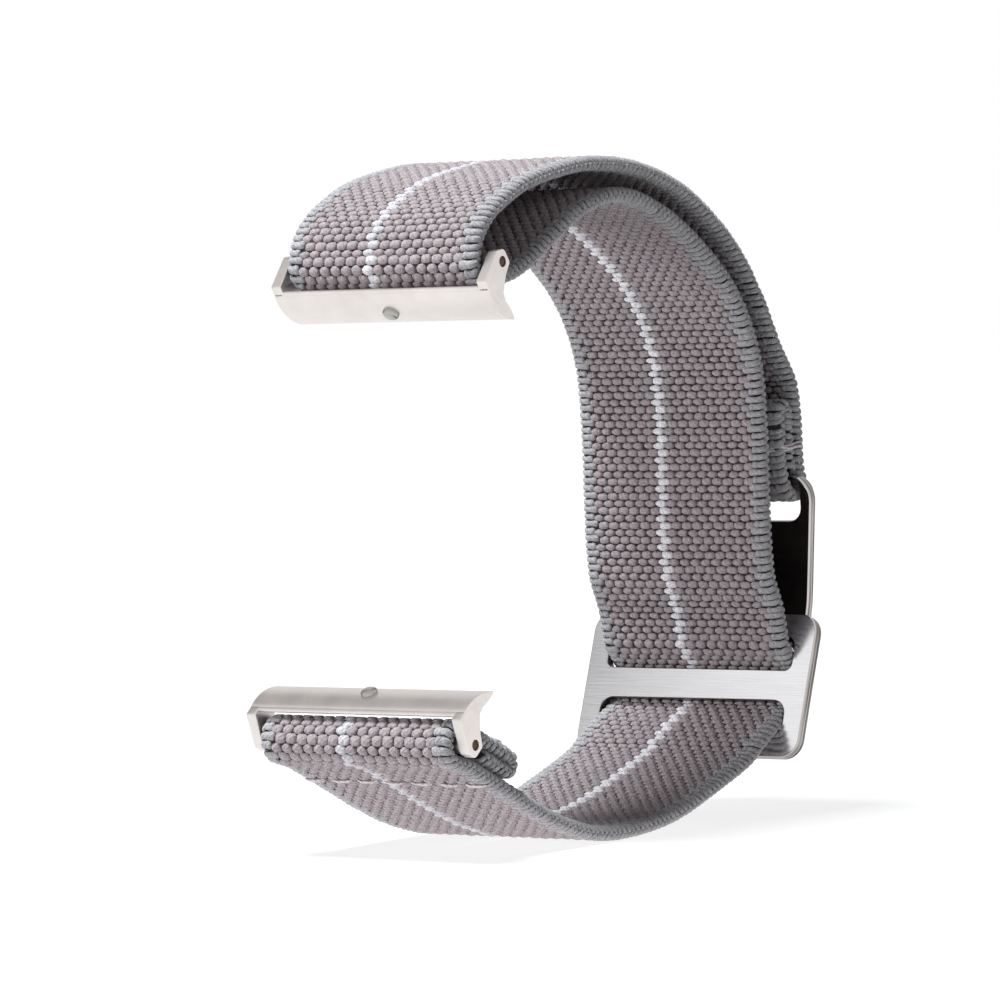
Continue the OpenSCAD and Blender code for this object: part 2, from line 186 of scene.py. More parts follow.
# Grain in mm across, up and through the flat plate, about twice as coarse as real so that the lines show
steelLook = {
    "face": {"hues": ("#e6e4e7", "#ecebed", "#f2f1f3"), "grain": (4.0, 0.08, 0.08),
             "roughness": (0.13, 0.22)},
    # the plates' sides and slot walls keep a fine filed grain along the edge, and are coloured darker with
    # dark and light lines, a painted reflection of darker surroundings
    "side": {"hues": ("#54504d", "#84807d", "#b8b3b0"), "grain": (9.0, 9.0, 0.14),
             "roughness": (0.2, 0.34)},
    "stops": (0.4, 0.5, 0.62), "bumpDeep": 0.00001,
    "smearMm": 3.846,      # soft blotches left by handling
}


def brushedSteel(name, hues, grain, roughness):
    # Stainless 316L, drawn over a belt: long soft highlights with thin dark and light lines along the grain
    material, add = startMaterial(name)
    where = add("TexCoord").outputs["Object"]
    flat = add("Attribute", {"attribute_name": "flatPlace"}).outputs["Vector"]
    across = add("Mapping", {"Scale": tuple(1000 / g for g in grain)}, {"Vector": flat})
    streak = add("TexNoise", {"Scale": 1.0, "Detail": 4.0, "Roughness": 0.65}, {"Vector": across})
    smear = add("TexNoise", {"Scale": 1000 / steelLook["smearMm"], "Detail": 2.0}, {"Vector": where})
    tone = add("ValToRGB", {"stops": list(zip(steelLook["stops"], hues))}, {"Fac": streak})
    low, high = roughness
    rough = add("MapRange", {**noiseSpan, "To Min": low, "To Max": high}, {"Value": streak})
    wearAndShade = add("Math", {"operation": "MULTIPLY_ADD", 1: 0.06}, {0: smear, 2: rough})
    bump = add("Bump", {"Strength": 0.16, "Distance": steelLook["bumpDeep"]}, {"Height": streak})
    endMaterial(add, {"Base Color": tone, "Roughness": wearAndShade, "Normal": bump},
                {"Metallic": 1.0, "Anisotropic": 0.4})
    return material


# Plain metals: colour, roughness where least and most worn, and grain in mm
metalLook = {
    # the plates' tumbled and buffed rims: narrow bright highlights
    "buffedStainless": ("#c2bdbb", 0.1, 0.2, 0.05),
    # the hook plate's inner side is left as rolled and buffed, so it mirrors the webbing in front of it; its
    # colour is also darkened, a painted reflection of that shaded webbing
    "paintedDarkInnerStainless": ("#726d6a", 0.16, 0.24, 0.05),
    # bead-blasted and anodised, warm silver: a soft even glow with a fine grain
    "blastedAnodisedAluminium": ("#dcd5d2", 0.34, 0.42, 0.03),
    # turned and left plain: greyer, with a satin highlight
    "turnedSpringBarSteel": ("#a9a6a3", 0.24, 0.36, 0.06),
    # blackened in an oxide bath: dark brown and nearly matt
    "brownOxideSteel": ("#574437", 0.36, 0.5, 0.05),
}
wearLook = {"wearMm": 2.5, "shade": (0.9, 1.03), "grainDeep": 0.000006}


def plainMetal(name, code, low, high, grainMm):
    # Even highlights, softened by hair-fine wear and a fine grain
    material, add = startMaterial(name)
    where = add("TexCoord").outputs["Object"]
    grain = add("TexNoise", {"Scale": 1000 / grainMm, "Detail": 3.0}, {"Vector": where})
    wear = add("TexNoise", {"Scale": 1000 / wearLook["wearMm"], "Detail": 4.0}, {"Vector": where})
    dark, light = wearLook["shade"]
    shade = add("MapRange", {**noiseSpan, "To Min": dark, "To Max": light}, {"Value": wear})
    base = add("RGB")
    base.outputs[0].default_value = linearColour(code)
    colour = add("VectorMath", {"operation": "SCALE"}, {0: base, "Scale": shade})
    rough = add("MapRange", {**noiseSpan, "To Min": low, "To Max": high}, {"Value": wear})
    bump = add("Bump", {"Strength": 0.25, "Distance": wearLook["grainDeep"]}, {"Height": grain})
    endMaterial(add, {"Base Color": colour, "Roughness": rough, "Normal": bump}, {"Metallic": 1.0})
    return material


bodyYarn = yarnMaterial("texturedNylonWeft", yarnLook["bodyHues"], 0.07)
paleYarn = yarnMaterial("paleNylonWeft", yarnLook["paleHues"], 0.05)
# The pale line is drawn greyer on the outer run, the tail and the lower run's underside: painted shade that
# keeps it from glaring where the lamps and the reflector light the strap strongly
shadedPaleYarn = yarnMaterial("shadedPaleNylonWeft", yarnLook["shadedPaleHues"], 0.05)
selvedgeYarn = yarnMaterial("selvedgeNylon", yarnLook["selvedgeHues"], 0.09)
yarns = [coreMaterial(), bodyYarn, paleYarn, selvedgeYarn, shadedPaleYarn]
yarnSlots = {"core": 0, "body": 1, "pale": 2, "selvedge": 3, "wearAndShade": 4}
thread = threadMaterial()
steelFace = brushedSteel("brushedStainless", **steelLook["face"])
# the sides' darker colours and lines are painted reflection over a filed grain
steelSide = brushedSteel("filedStainlessPaintedReflection", **steelLook["side"])
# the hook's inner steel is darkened in colour: painted reflection of the shaded webbing
steelRim, steelInside, adapterMetal, turnedSteel, brownOxide = (
    plainMetal(name, *look) for name, look in metalLook.items())
print("materials made")

# The webbing's middle line is drawn in the strap's side view, backwards and upwards in mm from the middle
# between the two spring bars
sizes = {
    "width": 20.0, "halfT": 0.65, "layer": 1.35, "wrapR": 1.46, "railR": 1.26, "railD": 1.1, "barZ": 19.7,
    "lowFold": 1.9, "tailFold": 6.2, "sliderTilt": radians(10.6), "tailLean": radians(20),
    "lowLean": radians(18),
}
rail = np.array([46.1, 6.2])
sliderMid = np.array([46.1, -11.9])
lowFoldMid = np.array([4.2, -22.2])
# Where the webbing runs free it follows points measured in the fitted photograph
course = {
    "lower": [[11, -24.4], [15.2, -25.45], [20, -25.95], [25.2, -25.3], [30.8, -23.7], [36.2, -21.1]],
    "inner": [[42.8, -2.9], [41.9, 0.4], [41.2, 4.8], [40.4, 10], [38.8, 16.2], [35.2, 21.2], [29.4, 24.9],
              [23.6, 27.1], [18, 27.7], [12.9, 25.9], [9, 23.1], [5.4, 20.3], [2.7, 18.9]],
    "outer": [[-1.46, 19.7], [-1.15, 21.65], [0.2, 23.65], [2.5, 25.45], [5, 26.95], [8.8, 28.4],
              [13.5, 29.7], [19.7, 30.2], [25.8, 29.4], [31, 27.4], [35.2, 24.8], [38.8, 21.3], [41.7, 17.6]],
}
# It crosses the slider's plate at 60 degrees in the upper slot and at 45 in the lower
crossing = {"plateHalf": 0.5, "outAir": 0.1, "inAir": 0.15, "slotIn": 1.35, "steep": radians(60),
            "slack": radians(45), "bendR": 1.25}


def onSlider(u, w):
    c, s = cos(sizes["sliderTilt"]), sin(sizes["sliderTilt"])
    return sliderMid + u * np.array([-s, -c]) + w * np.array([c, -s])


def onRail(v, n):
    c, s = cos(sizes["tailLean"]), sin(sizes["tailLean"])
    return rail + v * np.array([-s, c]) + n * np.array([c, s])


def onFold(v, n):
    c, s = cos(sizes["lowLean"]), sin(sizes["lowLean"])
    return lowFoldMid + v * np.array([c, -s]) + n * np.array([s, c])


def smoothCurve(points, n):
    p = [np.array(q, float) for q in points]
    p = [2 * p[0] - p[1]] + p + [2 * p[-1] - p[-2]]
    found = []
    for i in range(len(p) - 3):
        a, b, c, d = p[i:i + 4]
        for k in range(n):
            u = k / n
            found.append(b + u * (c - a) / 2 + u * u * (2 * a - 5 * b + 4 * c - d) / 2
                    + u ** 3 * (3 * b - a - 3 * c + d) / 2)
    return found


def arcPoints(centre, r, start, end, n):
    turns = np.radians(np.linspace(start, end, n + 1))
    return [np.array(centre) + r * np.array([cos(t), sin(t)]) for t in turns]


def roundCorner(a, b, c, r, n):
    p, q = (a - b) / np.linalg.norm(a - b), (c - b) / np.linalg.norm(c - b)
    half = acos(float(p @ q)) / 2
    m = b + (p + q) / np.linalg.norm(p + q) * r / sin(half)
    f, g = b + p * r / tan(half), b + q * r / tan(half)
    s, e = atan2(*(f - m)[::-1]), atan2(*(g - m)[::-1])
    turn = (e - s + pi) % (2 * pi) - pi
    return [m + r * np.array([cos(s + turn * k / n), sin(s + turn * k / n)]) for k in range(n + 1)]


def middleLine():
    t, layer, wrapR, railR, barZ = (sizes[key] for key in ("halfT", "layer", "wrapR", "railR", "barZ"))
    folds = np.radians(22.5 * np.arange(9))
    leaveLow, leaveTop = onSlider(6.3, -3.0), onSlider(-6.3, -3.0)
    lower = ([onFold(-1.6, layer), onFold(0, layer)]
             + [onFold(sizes["lowFold"] + layer / 2 * sin(a), layer * (1.5 - cos(a) / 2)) for a in folds]
             + [onFold(-0.6, 2 * layer)] + arcPoints([0, -barZ], wrapR, 62, 262, 16)
             + smoothCurve([onFold(v, 0) for v in (-2.6, -1.6, 0.9, 3.4, 4.6)] + course["lower"]
                + [onSlider(7.75, -4.2), leaveLow], 5))
    x = crossing
    outBy, inBy = x["plateHalf"] + x["outAir"] + t, x["plateHalf"] + x["inAir"] + t
    steepU, slackU = (x["slotIn"] + (t + x["outAir"] + x["plateHalf"] * cos(turn)) / sin(turn)
            for turn in (x["steep"], x["slack"]))
    steep, slack = tan(x["steep"]), tan(x["slack"])
    bends = [leaveLow, onSlider(slackU + inBy / slack, -inBy), onSlider(slackU - outBy / slack, outBy),
             onSlider(-steepU + outBy / steep, outBy), onSlider(-steepU - inBy / steep, -inBy), leaveTop]
    slider = [leaveLow] + [p for i in range(4) for p in roundCorner(*bends[i:i + 3], x["bendR"], 6)]
    onBar = [wrapR * cos(radians(65)), barZ - wrapR * sin(radians(65))]
    inner = smoothCurve([leaveTop] + course["inner"] + [onBar], 5) + arcPoints([0, barZ], wrapR, 295, 182, 9)
    outer = smoothCurve(course["outer"] + [onRail(8.6, layer)], 4)
    tail = ([onRail(v, layer) for v in (8.6, 6.5, 4.5, 2.4)] + arcPoints(rail, railR, 20, -160, 14)
            + [onRail(2, -layer), onRail(4, -layer)]
            + [onRail(sizes["tailFold"] + layer / 2 * sin(a), -layer * (1 + cos(a)) / 2) for a in folds]
            + [onRail(4, 0), onRail(1.15, 0)])
    runs = [lower, slider, inner, outer, tail]
    return np.array([p for run in runs for p in run]), np.cumsum([0] + [len(run) for run in runs])


lineStep = 0.02
# Corners are rounded over a hair's breadth, and the webbing leaves the slider in a soft bend
soften = {"cornerMm": 0.11, "cornerReach": 15, "bendMm": 0.75, "bendReach": 120, "full": 1.6, "fade": 2.2}
rawLine, runStarts = middleLine()
steps = np.linalg.norm(np.diff(rawLine, axis=0), axis=1)
keep = np.concatenate([[True], steps > 1e-6])
rawAt = np.concatenate([[0], np.cumsum(steps)])
runAt = [rawAt[min(i, len(rawAt) - 1)] for i in runStarts]
total = rawAt[-1]
fine = np.arange(0, total, lineStep)


def bell(widthMm, reach):
    return np.exp(-0.5 * (np.arange(-reach, reach + 1) * lineStep / widthMm) ** 2)


def smoothed(values, kernel, **ends):
    return np.convolve(np.pad(values, len(kernel) // 2, **ends), kernel / kernel.sum(), "valid")


corner, leaving = bell(soften["cornerMm"], soften["cornerReach"]), bell(soften["bendMm"], soften["bendReach"])
line = np.stack([smoothed(np.interp(fine, rawAt[keep], rawLine[keep, i]), corner, mode="reflect",
                          reflect_type="odd") for i in (0, 1)], -1)
softLine = np.stack([smoothed(line[:, i], leaving, mode="edge") for i in (0, 1)], -1)
near = np.clip(soften["full"] - np.abs(fine - runAt[2]) / soften["fade"], 0, 1)[:, None]
line = line * (1 - near) + softLine * near
along = np.gradient(line, axis=0)
along /= np.linalg.norm(along, axis=1)[:, None]
# Turns per mm, anticlockwise
bend = np.gradient(np.unwrap(np.arctan2(along[:, 1], along[:, 0]))) / lineStep
bend = smoothed(bend, np.ones(25), mode="edge")
lineFacts = np.column_stack([line, along, bend])


def lineAt(s):
    # The place on the middle line, its direction and its bend at a distance along it
    return [np.interp(s, fine, column) for column in lineFacts.T]


print("middle line", round(total, 1), "mm, runs at", [round(a, 1) for a in runAt])


def makePiece(name, points, groups, materials, strand=None):
    mesh = bpy.data.meshes.new(name)
    loops = np.concatenate([f.ravel() for f, _ in groups]).astype(np.int32)
    counts = np.concatenate([np.full(len(f), f.shape[1]) for f, _ in groups]).astype(np.int32)
    slots = np.concatenate([np.broadcast_to(s, len(f)) for f, s in groups]).astype(np.int32)
    mesh.vertices.add(len(points))
    mesh.vertices.foreach_set("co", np.asarray(points, np.float32).ravel())
    mesh.loops.add(len(loops))
    mesh.loops.foreach_set("vertex_index", loops)
    mesh.polygons.add(len(counts))
    mesh.polygons.foreach_set("loop_start", np.concatenate([[0], np.cumsum(counts)[:-1]]).astype(np.int32))
    mesh.polygons.foreach_set("material_index", slots)
    mesh.polygons.foreach_set("use_smooth", np.full(len(counts), True))
    if strand is not None:
        data = mesh.attributes.new("strand", "FLOAT_VECTOR", "POINT")
        data.data.foreach_set("vector", np.asarray(strand, np.float32).ravel())
    mesh.update(calc_edges=True)
    return showMesh(name, mesh, materials)


def showMesh(name, mesh, materials):
    for material in materials:
        mesh.materials.append(material)
    piece = bpy.data.objects.new(name, mesh)
    bpy.context.scene.collection.objects.link(piece)
    return piece


def asMesh(name, shape):
    mesh = bpy.data.meshes.new(name)
    shape.to_mesh(mesh)
    shape.free()
    return mesh


def faceOutwards(piece, weld=False):
    shape = bmesh.new()
    shape.from_mesh(piece.data)
    if weld:
        bmesh.ops.remove_doubles(shape, verts=shape.verts[:], dist=2e-7)
    bmesh.ops.recalc_face_normals(shape, faces=shape.faces[:])
    shape.to_mesh(piece.data)
    shape.free()


def ringQuads(rings, sides):
    # The faces between rings of points that follow one another
    i, j = np.meshgrid(np.arange(rings - 1) * sides, np.arange(sides), indexing="ij")
    k = (j + 1) % sides
    return np.stack([i + j, i + k, i + sides + k, i + sides + j], -1).reshape(-1, 4)


def ringCaps(rings, sides):
    ends = np.arange(sides)
    return np.stack([ends[::-1], (rings - 1) * sides + ends])


weave = {
    "rowMm": 0.64,          # from one weft row to the next
    "beads": 15,            # beads across, between the two selvedges
    "beadSides": 8,
    "selvedgeMm": 1.5,
    "coreHalfT": 0.40, "coreIn": 0.42, "coreRound": 0.3, "coreStep": 0.4,
    "baseMm": 0.27, "topMm": 0.655,
    # Rows of oval beads, narrower at their left ends, lie between rows of squarer ones. Each kind has its
    # superellipse power, how full it is across and along, and its shift in parts of a bead
    "oval": {"power": 2.1, "fill": (1.04, 1.04), "taper": 0.16, "shift": -0.23},
    "square": {"power": 3.3, "fill": (1.05, 1.03), "taper": 0.0, "shift": 0.23},
    "rings": np.array([(0.86, 0.0), (1.0, 0.36), (0.72, 0.79)]),    # width and height of a bead's rings
    "stripe": 6, "stripeFill": 1.14, "stripeShift": 0.8,
    "stretchLeast": 0.3, "stretchSpan": (0.55, 1.42),
    # uneven place across, width, length, height, place along, and turn
    "jitter": np.array([0.018, 0.03, 0.03, 0.018, 0.015, 0.05]), "outlineJitter": 0.022,
    "loose": 2.4, "looseFrom": 9.5, "looseTo": 13.5,
}


def superRing(power, n):
    turns = (np.arange(n) + 0.5) * 2 * pi / n
    c, s = np.cos(turns), np.sin(turns)
    return np.sign(c) * np.abs(c) ** (2 / power), np.sign(s) * np.abs(s) ** (2 / power)


def rumple(s):
    # The sewn and folded ends are less regular than the rest
    return weave["loose"] if s < weave["looseFrom"] or s > total - weave["looseTo"] else 1.0


def rowsBetween(s0, s1):
    return np.arange(*(ceil(s / weave["rowMm"] - 0.5) for s in (s0, s1)))


def beadsBetween(s0, s1, rng, wearAndShade):
    # One closed pillow of yarn for every bead of both faces, in rows that lie half a bead apart
    n, sides = weave["beads"], weave["beadSides"]
    pitch = (sizes["width"] - 2 * weave["selvedgeMm"]) / n
    centres = (np.arange(n) + 0.5 - n / 2) * pitch
    wide, high = weave["rings"].T
    rings, around = len(wide), np.arange(sides)
    last = (rings - 1) * sides
    top = np.stack([last + around, last + (around + 1) % sides, np.full(sides, last + sides)], -1)
    bead = [ringQuads(rings, sides), top, around[::-1][None]]
    points, strands, found, count = [], [], [[], [], []], 0
    for face in (1, -1):
        for row in rowsBetween(s0, s1):
            at = (row + 0.5) * weave["rowMm"]
            y, z, ty, tz, k = lineAt(at)
            # the yarn spreads on the outside of a bend and is squeezed inside it
            stretch = 1 - face * k * sizes["halfT"]
            if stretch < weave["stretchLeast"]:
                continue
            loose, kind = rumple(at), weave["square" if row % 2 else "oval"]
            across, lengthwise = kind["fill"]
            lengthwise *= min(max(stretch, weave["stretchSpan"][0]), weave["stretchSpan"][1])
            ringX, ringV = superRing(kind["power"], sides)
            for i in range(n):
                striped = i == weave["stripe"]
                full, moved = (weave["stripeFill"], weave["stripeShift"]) if striped else (1.0, 1.0)
                off, wider, longer, higher, slide, turn = rng.normal(0, weave["jitter"] * loose)
                x = centres[i] + kind["shift"] * pitch * moved + off
                a = pitch / 2 * across * full * (1 + wider)
                b = weave["rowMm"] / 2 * lengthwise * (1 + longer)
                tip = weave["topMm"] + higher
                ct, st = cos(turn), sin(turn)
                rough = 1 + rng.normal(0, weave["outlineJitter"], sides)
                u = np.outer(wide, ringX * rough * a)
                v = np.outer(wide, ringV * rough * b) * (1 + kind["taper"] * ringX)
                px, v = np.append(u * ct - v * st, 0.0), np.append(u * st + v * ct, 0.0) + slide
                ph = np.append(np.repeat(weave["baseMm"] + (tip - weave["baseMm"]) * high, sides), tip)
                out = ph * face
                points.append(np.stack([x + px, y + v * ty - out * tz, z + v * tz + out * ty], -1))
                strands.append(np.stack([x + px, v + row * weave["rowMm"], ph + i], -1) / 1000)
                # on the listed faces the pale beads take its greyer copy, painted shade
                slot = yarnSlots["body" if not striped else "wearAndShade" if face in wearAndShade else "pale"]
                for group, faces in zip(found, bead):
                    group.append((faces[:, ::-face] + count, np.full(len(faces), slot)))
                count += rings * sides + 1
    groups = [[np.concatenate(part) for part in zip(*group)] for group in found]
    return np.concatenate(points), np.concatenate(strands), groups


selvedge = {
    "tubeFace": 0.2, "tubeAlong": 0.31,       # half the thickness of a rib, and half its width along the edge
    "edgeInset": 0.63, "edgeR": 0.44, "ribSides": 8,
    "sweep": 0.22, "zigzag": 0.19,            # ribs slant, and start nearer and further in by turns
    # distance in from the start or the turning point, height over the middle, and thickness
    "dive": [(0.03, 0.36, 0.86), (0.09, 0.43, 1.0), (0.33, 0.455, 1.03)],
    "reach": [(-0.35, 0.455, 0.87), (0.05, 0.45, 0.85)],
    "round": [(0.56, 0.9), (1.0, 0.93), (1.38, 0.82), (1.72, 0.42)],    # angle round the edge, and thickness
    "stretchSpan": (0.5, 1.5), "waveJitter": 0.025, "swellJitter": 0.05,
}


def ribPath(side):
    # A rib seen along the webbing: it comes in from a face and turns round the edge
    half, r = sizes["width"] / 2, selvedge["edgeR"]
    start, mid = half - weave["selvedgeMm"] + side * selvedge["zigzag"], half - selvedge["edgeInset"]
    return np.array([(start + x, high, thick) for x, high, thick in selvedge["dive"]]
            + [(mid + x, high, thick) for x, high, thick in selvedge["reach"]]
            + [(mid + r * sin(a), r * cos(a), thick) for a, thick in selvedge["round"]])


def ribsBetween(s0, s1, rng):
    # The ribs of both edges, where those of one face meet the other face's in a V
    sides = selvedge["ribSides"]
    turns = np.arange(sides) * 2 * pi / sides
    points, strands, quads, caps, count = [], [], [], [], 0
    for edge in (1, -1):
        for face in (1, -1):
            flip = -edge * face
            for row in rowsBetween(s0, s1):
                at = (row + 0.5 + 0.25 * face) * weave["rowMm"]
                path = ribPath(edge if row % 2 else -edge)
                across, high, thick = (v[:, None] for v in path.T)
                slant = np.clip(np.arange(len(path)) - 4, 0, 4) / 4 * selvedge["sweep"] * weave["rowMm"]
                loose = rumple(at)
                wave = rng.normal(0, selvedge["waveJitter"] * loose)
                swell = 1 + rng.normal(0, selvedge["swellJitter"] * loose)
                places = np.clip(at + slant + wave, 0, total - lineStep)
                y, z, ty, tz, k = (v[:, None] for v in lineAt(places))
                # across the rib, away from the middle of the webbing
                step = np.vstack([path[1:], path[-1:]]) - np.vstack([path[:1], path[:-1]])
                length = np.hypot(step[:, 0], step[:, 1])
                ox, on = (-step[:, 1] / length)[:, None], (step[:, 0] / length)[:, None]
                u = np.cos(turns) * selvedge["tubeFace"] * np.sqrt(thick) * swell
                v = np.sin(turns) * selvedge["tubeAlong"] * thick * swell
                v = v * np.clip(1 - face * k * high, *selvedge["stretchSpan"])
                x, n = (across + u * ox) * edge, high + u * on
                out = n * face
                points.append(np.stack([x, y + v * ty - out * tz, z + v * tz + out * ty], -1).reshape(-1, 3))
                strands.append(np.stack([x, v + at, n], -1).reshape(-1, 3) / 1000)
                quads.append(ringQuads(len(path), sides)[:, ::flip] + count)
                caps.append(ringCaps(len(path), sides)[:, ::flip] + count)
                count += len(path) * sides
    slot = yarnSlots["selvedge"]
    groups = [(np.concatenate(faces), slot) for faces in (quads, caps)]
    return np.concatenate(points), np.concatenate(strands), groups


def coreBetween(s0, s1):
    # The closed inner ribbon that the beads sit in
    stations = max(int((s1 - s0) / weave["coreStep"]), 2) + 1
    places = np.minimum(np.linspace(s0, s1, stations), total - lineStep)
    y, z, ty, tz = (v[:, None] for v in lineAt(places)[:4])
    half, t, corner = sizes["width"] / 2 - weave["coreIn"], weave["coreHalfT"], weave["coreRound"]
    across = [-half + corner, -half / 2, 0, half / 2, half - corner]
    x, n = np.array([(a, -t) for a in across] + [(half, 0)] + [(a, t) for a in across[::-1]] + [(-half, 0)]).T
    points = np.stack(np.broadcast_arrays(x, y - tz * n, z + ty * n), -1).reshape(-1, 3)
    quads = np.roll(ringQuads(stations, len(x))[:, ::-1], 1, axis=1)
    slot = yarnSlots["core"]
    return points, points / 1000, [(quads, slot), (ringCaps(stations, len(x))[:, ::-1], slot)]


tackPull = {"share": 0.055, "at": 1.2, "wide": 3.4}


def drawnIn(p):
    # The bartack pulls the tail's sewn end narrower
    v = (p[:, 1:] - rail) @ (onRail(1, 0) - rail)
    p[:, 0] *= 1 - tackPull["share"] * np.exp(-((v - tackPull["at"]) / tackPull["wide"]) ** 2)
    return p


# the last argument lists the faces whose pale line gets painted shade
def weavePiece(name, s0, s1, seed, shape=None, wearAndShade=()):
    rng = np.random.default_rng(seed)
    points, strands, groups, count = [], [], [], 0
    for p, strand, faces in (coreBetween(s0, s1), beadsBetween(s0, s1, rng, wearAndShade), ribsBetween(s0, s1, rng)):
        points.append(p)
        strands.append(strand)
        groups += [(f + count, slot) for f, slot in faces]
        count += len(p)
    p = np.concatenate(points)
    if shape:
        p = shape(p)
    piece = makePiece(name, placed(*p.T), groups, yarns, np.concatenate(strands))
    return piece


def pointOn(s):
    y, z = lineAt(s)[:2]
    return tuple(float(v) for v in placed(0, y, z))


sliderHalf = (runAt[1] + runAt[2]) / 2
tailFrom = runAt[4] - 3.2
lowerWeave = weavePiece("lowerWeave", 0, runAt[1], 11, wearAndShade=(-1,))
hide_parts("webbing_lower_run")
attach(lowerWeave, "strap")
# The webbing in the slider, made in two halves
sliderLowWeave = weavePiece("sliderLowWeave", runAt[1], sliderHalf, 12)
sliderTopWeave = weavePiece("sliderTopWeave", sliderHalf, runAt[2], 13)
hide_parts("webbing_slider_run")
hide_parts("webbing_slider_run")
pointOn(runAt[1])
pointOn(runAt[1] + 2.2)
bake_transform(sliderLowWeave)
pointOn(runAt[2])
pointOn(runAt[2] - 2.2)
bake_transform(sliderTopWeave)
innerWeave = weavePiece("innerWeave", runAt[2], runAt[3], 14)
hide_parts("webbing_inner_run")
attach(innerWeave, "strap")
outerWeave = weavePiece("outerWeave", runAt[3], tailFrom, 15, wearAndShade=(1, -1))
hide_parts("webbing_outer_run")
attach(outerWeave, "strap")
tailWeave = weavePiece("tailWeave", tailFrom, total - 0.03, 16, drawnIn, (1, -1))
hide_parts("webbing_tail")
pointOn(runAt[4] - 1.9)
pointOn(runAt[4] + 1.5)
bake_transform(tailWeave)
print("webbing woven", [len(o.data.polygons) for o in (lowerWeave, innerWeave, outerWeave, tailWeave)])


def offsetLoop(loop, by):
    # Moves a closed outline inwards by a distance; anticlockwise outlines shrink and clockwise ones grow
    p = np.array(loop, float)
    d = np.roll(p, -1, 0) - p
    d /= np.linalg.norm(d, axis=1)[:, None]
    n2 = np.stack([-d[:, 1], d[:, 0]], -1)
    n1 = np.roll(n2, 1, 0)
    return p + by * (n1 + n2) / (1 + (n1 * n2).sum(1))[:, None]


def roundedOutline(points, radii, n=7):
    p = [np.array(q, float) for q in points]
    found = []
    for i, r in enumerate(radii):
        found += roundCorner(p[i - 1], p[i], p[(i + 1) % len(p)], r, n)
    return np.array(found)


def boxOutline(width, low, high, lowR, topR, n=7):
    w = width / 2
    return roundedOutline([(-w, low), (w, low), (w, high), (-w, high)], [lowR, lowR, topR, topR], n)


# The materials of a plate go to its outer face, its rims, its inner face and its sides
plateSlots = {"face": 0, "rim": 1, "inside": 2, "side": 3}
plateSteel = [steelFace, steelRim, steelInside, steelSide]


def plateMesh(name, outer, holes, thick, bevel, materials, toPlace, cuts=(), holeBevel=None, bent=False):
    # A closed plate with rounded edges: rings of each outline across its thickness, and two filled faces
    shape = bmesh.new()
    flatPlace = shape.verts.layers.float_vector.new("flatPlace")
    turns = [radians(a) for a in (0, 22.5, 45, 67.5, 90)]
    faceEdges = {0: [], 1: []}
    for number, loop in enumerate([outer] + list(holes)):
        loop = np.array(loop)
        area = 0.5 * np.sum(loop[:, 0] * np.roll(loop[:, 1], -1) - np.roll(loop[:, 0], -1) * loop[:, 1])
        if (area < 0) == (number == 0):
            loop = loop[::-1]
        b = bevel if number == 0 or holeBevel is None else holeBevel
        levels = [(b * (1 - sin(a)), -thick / 2 + b * (1 - cos(a))) for a in turns]
        levels += [(inset, -w) for inset, w in levels[::-1]]
        rings = [[shape.verts.new((x, v, w)) for x, v in offsetLoop(loop, inset)] for inset, w in levels]
        m = len(loop)
        for step, (a, c) in enumerate(zip(rings[:-1], rings[1:])):
            part = "side" if step == len(turns) - 1 and len(materials) > 3 else "rim"
            for j in range(m):
                made = shape.faces.new((a[j], a[(j + 1) % m], c[(j + 1) % m], c[j]))
                made.material_index = plateSlots[part]
        for side, ring in ((0, rings[0]), (1, rings[-1])):
            faceEdges[side] += [shape.edges.get((ring[j], ring[(j + 1) % m])) for j in range(m)]
    for edges in faceEdges.values():
        bmesh.ops.triangle_fill(shape, edges=edges, use_beauty=True, use_dissolve=False)
    for v in cuts:
        everything = shape.verts[:] + shape.edges[:] + shape.faces[:]
        bmesh.ops.bisect_plane(shape, geom=everything, dist=1e-6, plane_co=(0, v, 0), plane_no=(0, 1, 0))
    for found in shape.faces:
        heights = [v.co.z for v in found.verts]
        flat = max(heights) - min(heights) < 1e-6 and abs(abs(heights[0]) - thick / 2) < 1e-6
        found.smooth = bent or not flat
        if flat:
            found.material_index = plateSlots["inside" if len(materials) > 2 and heights[0] < 0 else "face"]
    for v in shape.verts:
        v[flatPlace] = v.co / 1000
        v.co = Vector(toPlace(v.co.x, v.co.y, v.co.z))
    bmesh.ops.recalc_face_normals(shape, faces=shape.faces[:])
    return asMesh(name, shape)


def joined(name, meshes, materials):
    shape = bmesh.new()
    for mesh in meshes:
        shape.from_mesh(mesh)
    piece = showMesh(name, asMesh(name, shape), materials)
    sharpen(piece)
    return piece


def sharpen(piece):
    # Keeps flat faces flat beside their rounded edges
    keeper = piece.modifiers.new("faceWeight", "WEIGHTED_NORMAL")
    keeper.keep_sharp = True
    keeper.weight = 80


sliderPlate = {"width": 24.0, "high": 12.9, "thick": 1.0, "bevel": 0.12, "topR": 1.8, "lowR": 1.75,
               "slotBevel": 0.08, "slotWidth": 20.0, "slotIn": 1.35, "slotOut": 4.5, "lowSlotOut": 4.05,
               "barR": 0.7, "slotTopR": 1.2, "lowSlotR": 1.3}


def onSliderFace(x, v, w):
    y, z = onSlider(-v, w)
    return placed(x, y, z)


def sliderMesh():
    s = sliderPlate
    outline = boxOutline(s["width"], -s["high"] / 2, s["high"] / 2, s["lowR"], s["topR"], 10)
    slots = [boxOutline(s["slotWidth"], s["slotIn"], s["slotOut"], s["barR"], s["slotTopR"]),
             boxOutline(s["slotWidth"], -s["lowSlotOut"], -s["slotIn"], s["barR"], s["lowSlotR"])]
    return plateMesh("slider", outline, slots, s["thick"], s["bevel"], plateSteel, onSliderFace,
            holeBevel=s["slotBevel"])


# The slider is brushed on both sides
slider = joined("sliderPlate", [sliderMesh()], [steelFace, steelRim, steelFace, steelSide])
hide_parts("slider_plate")
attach(slider, "slider")
print("slider made")

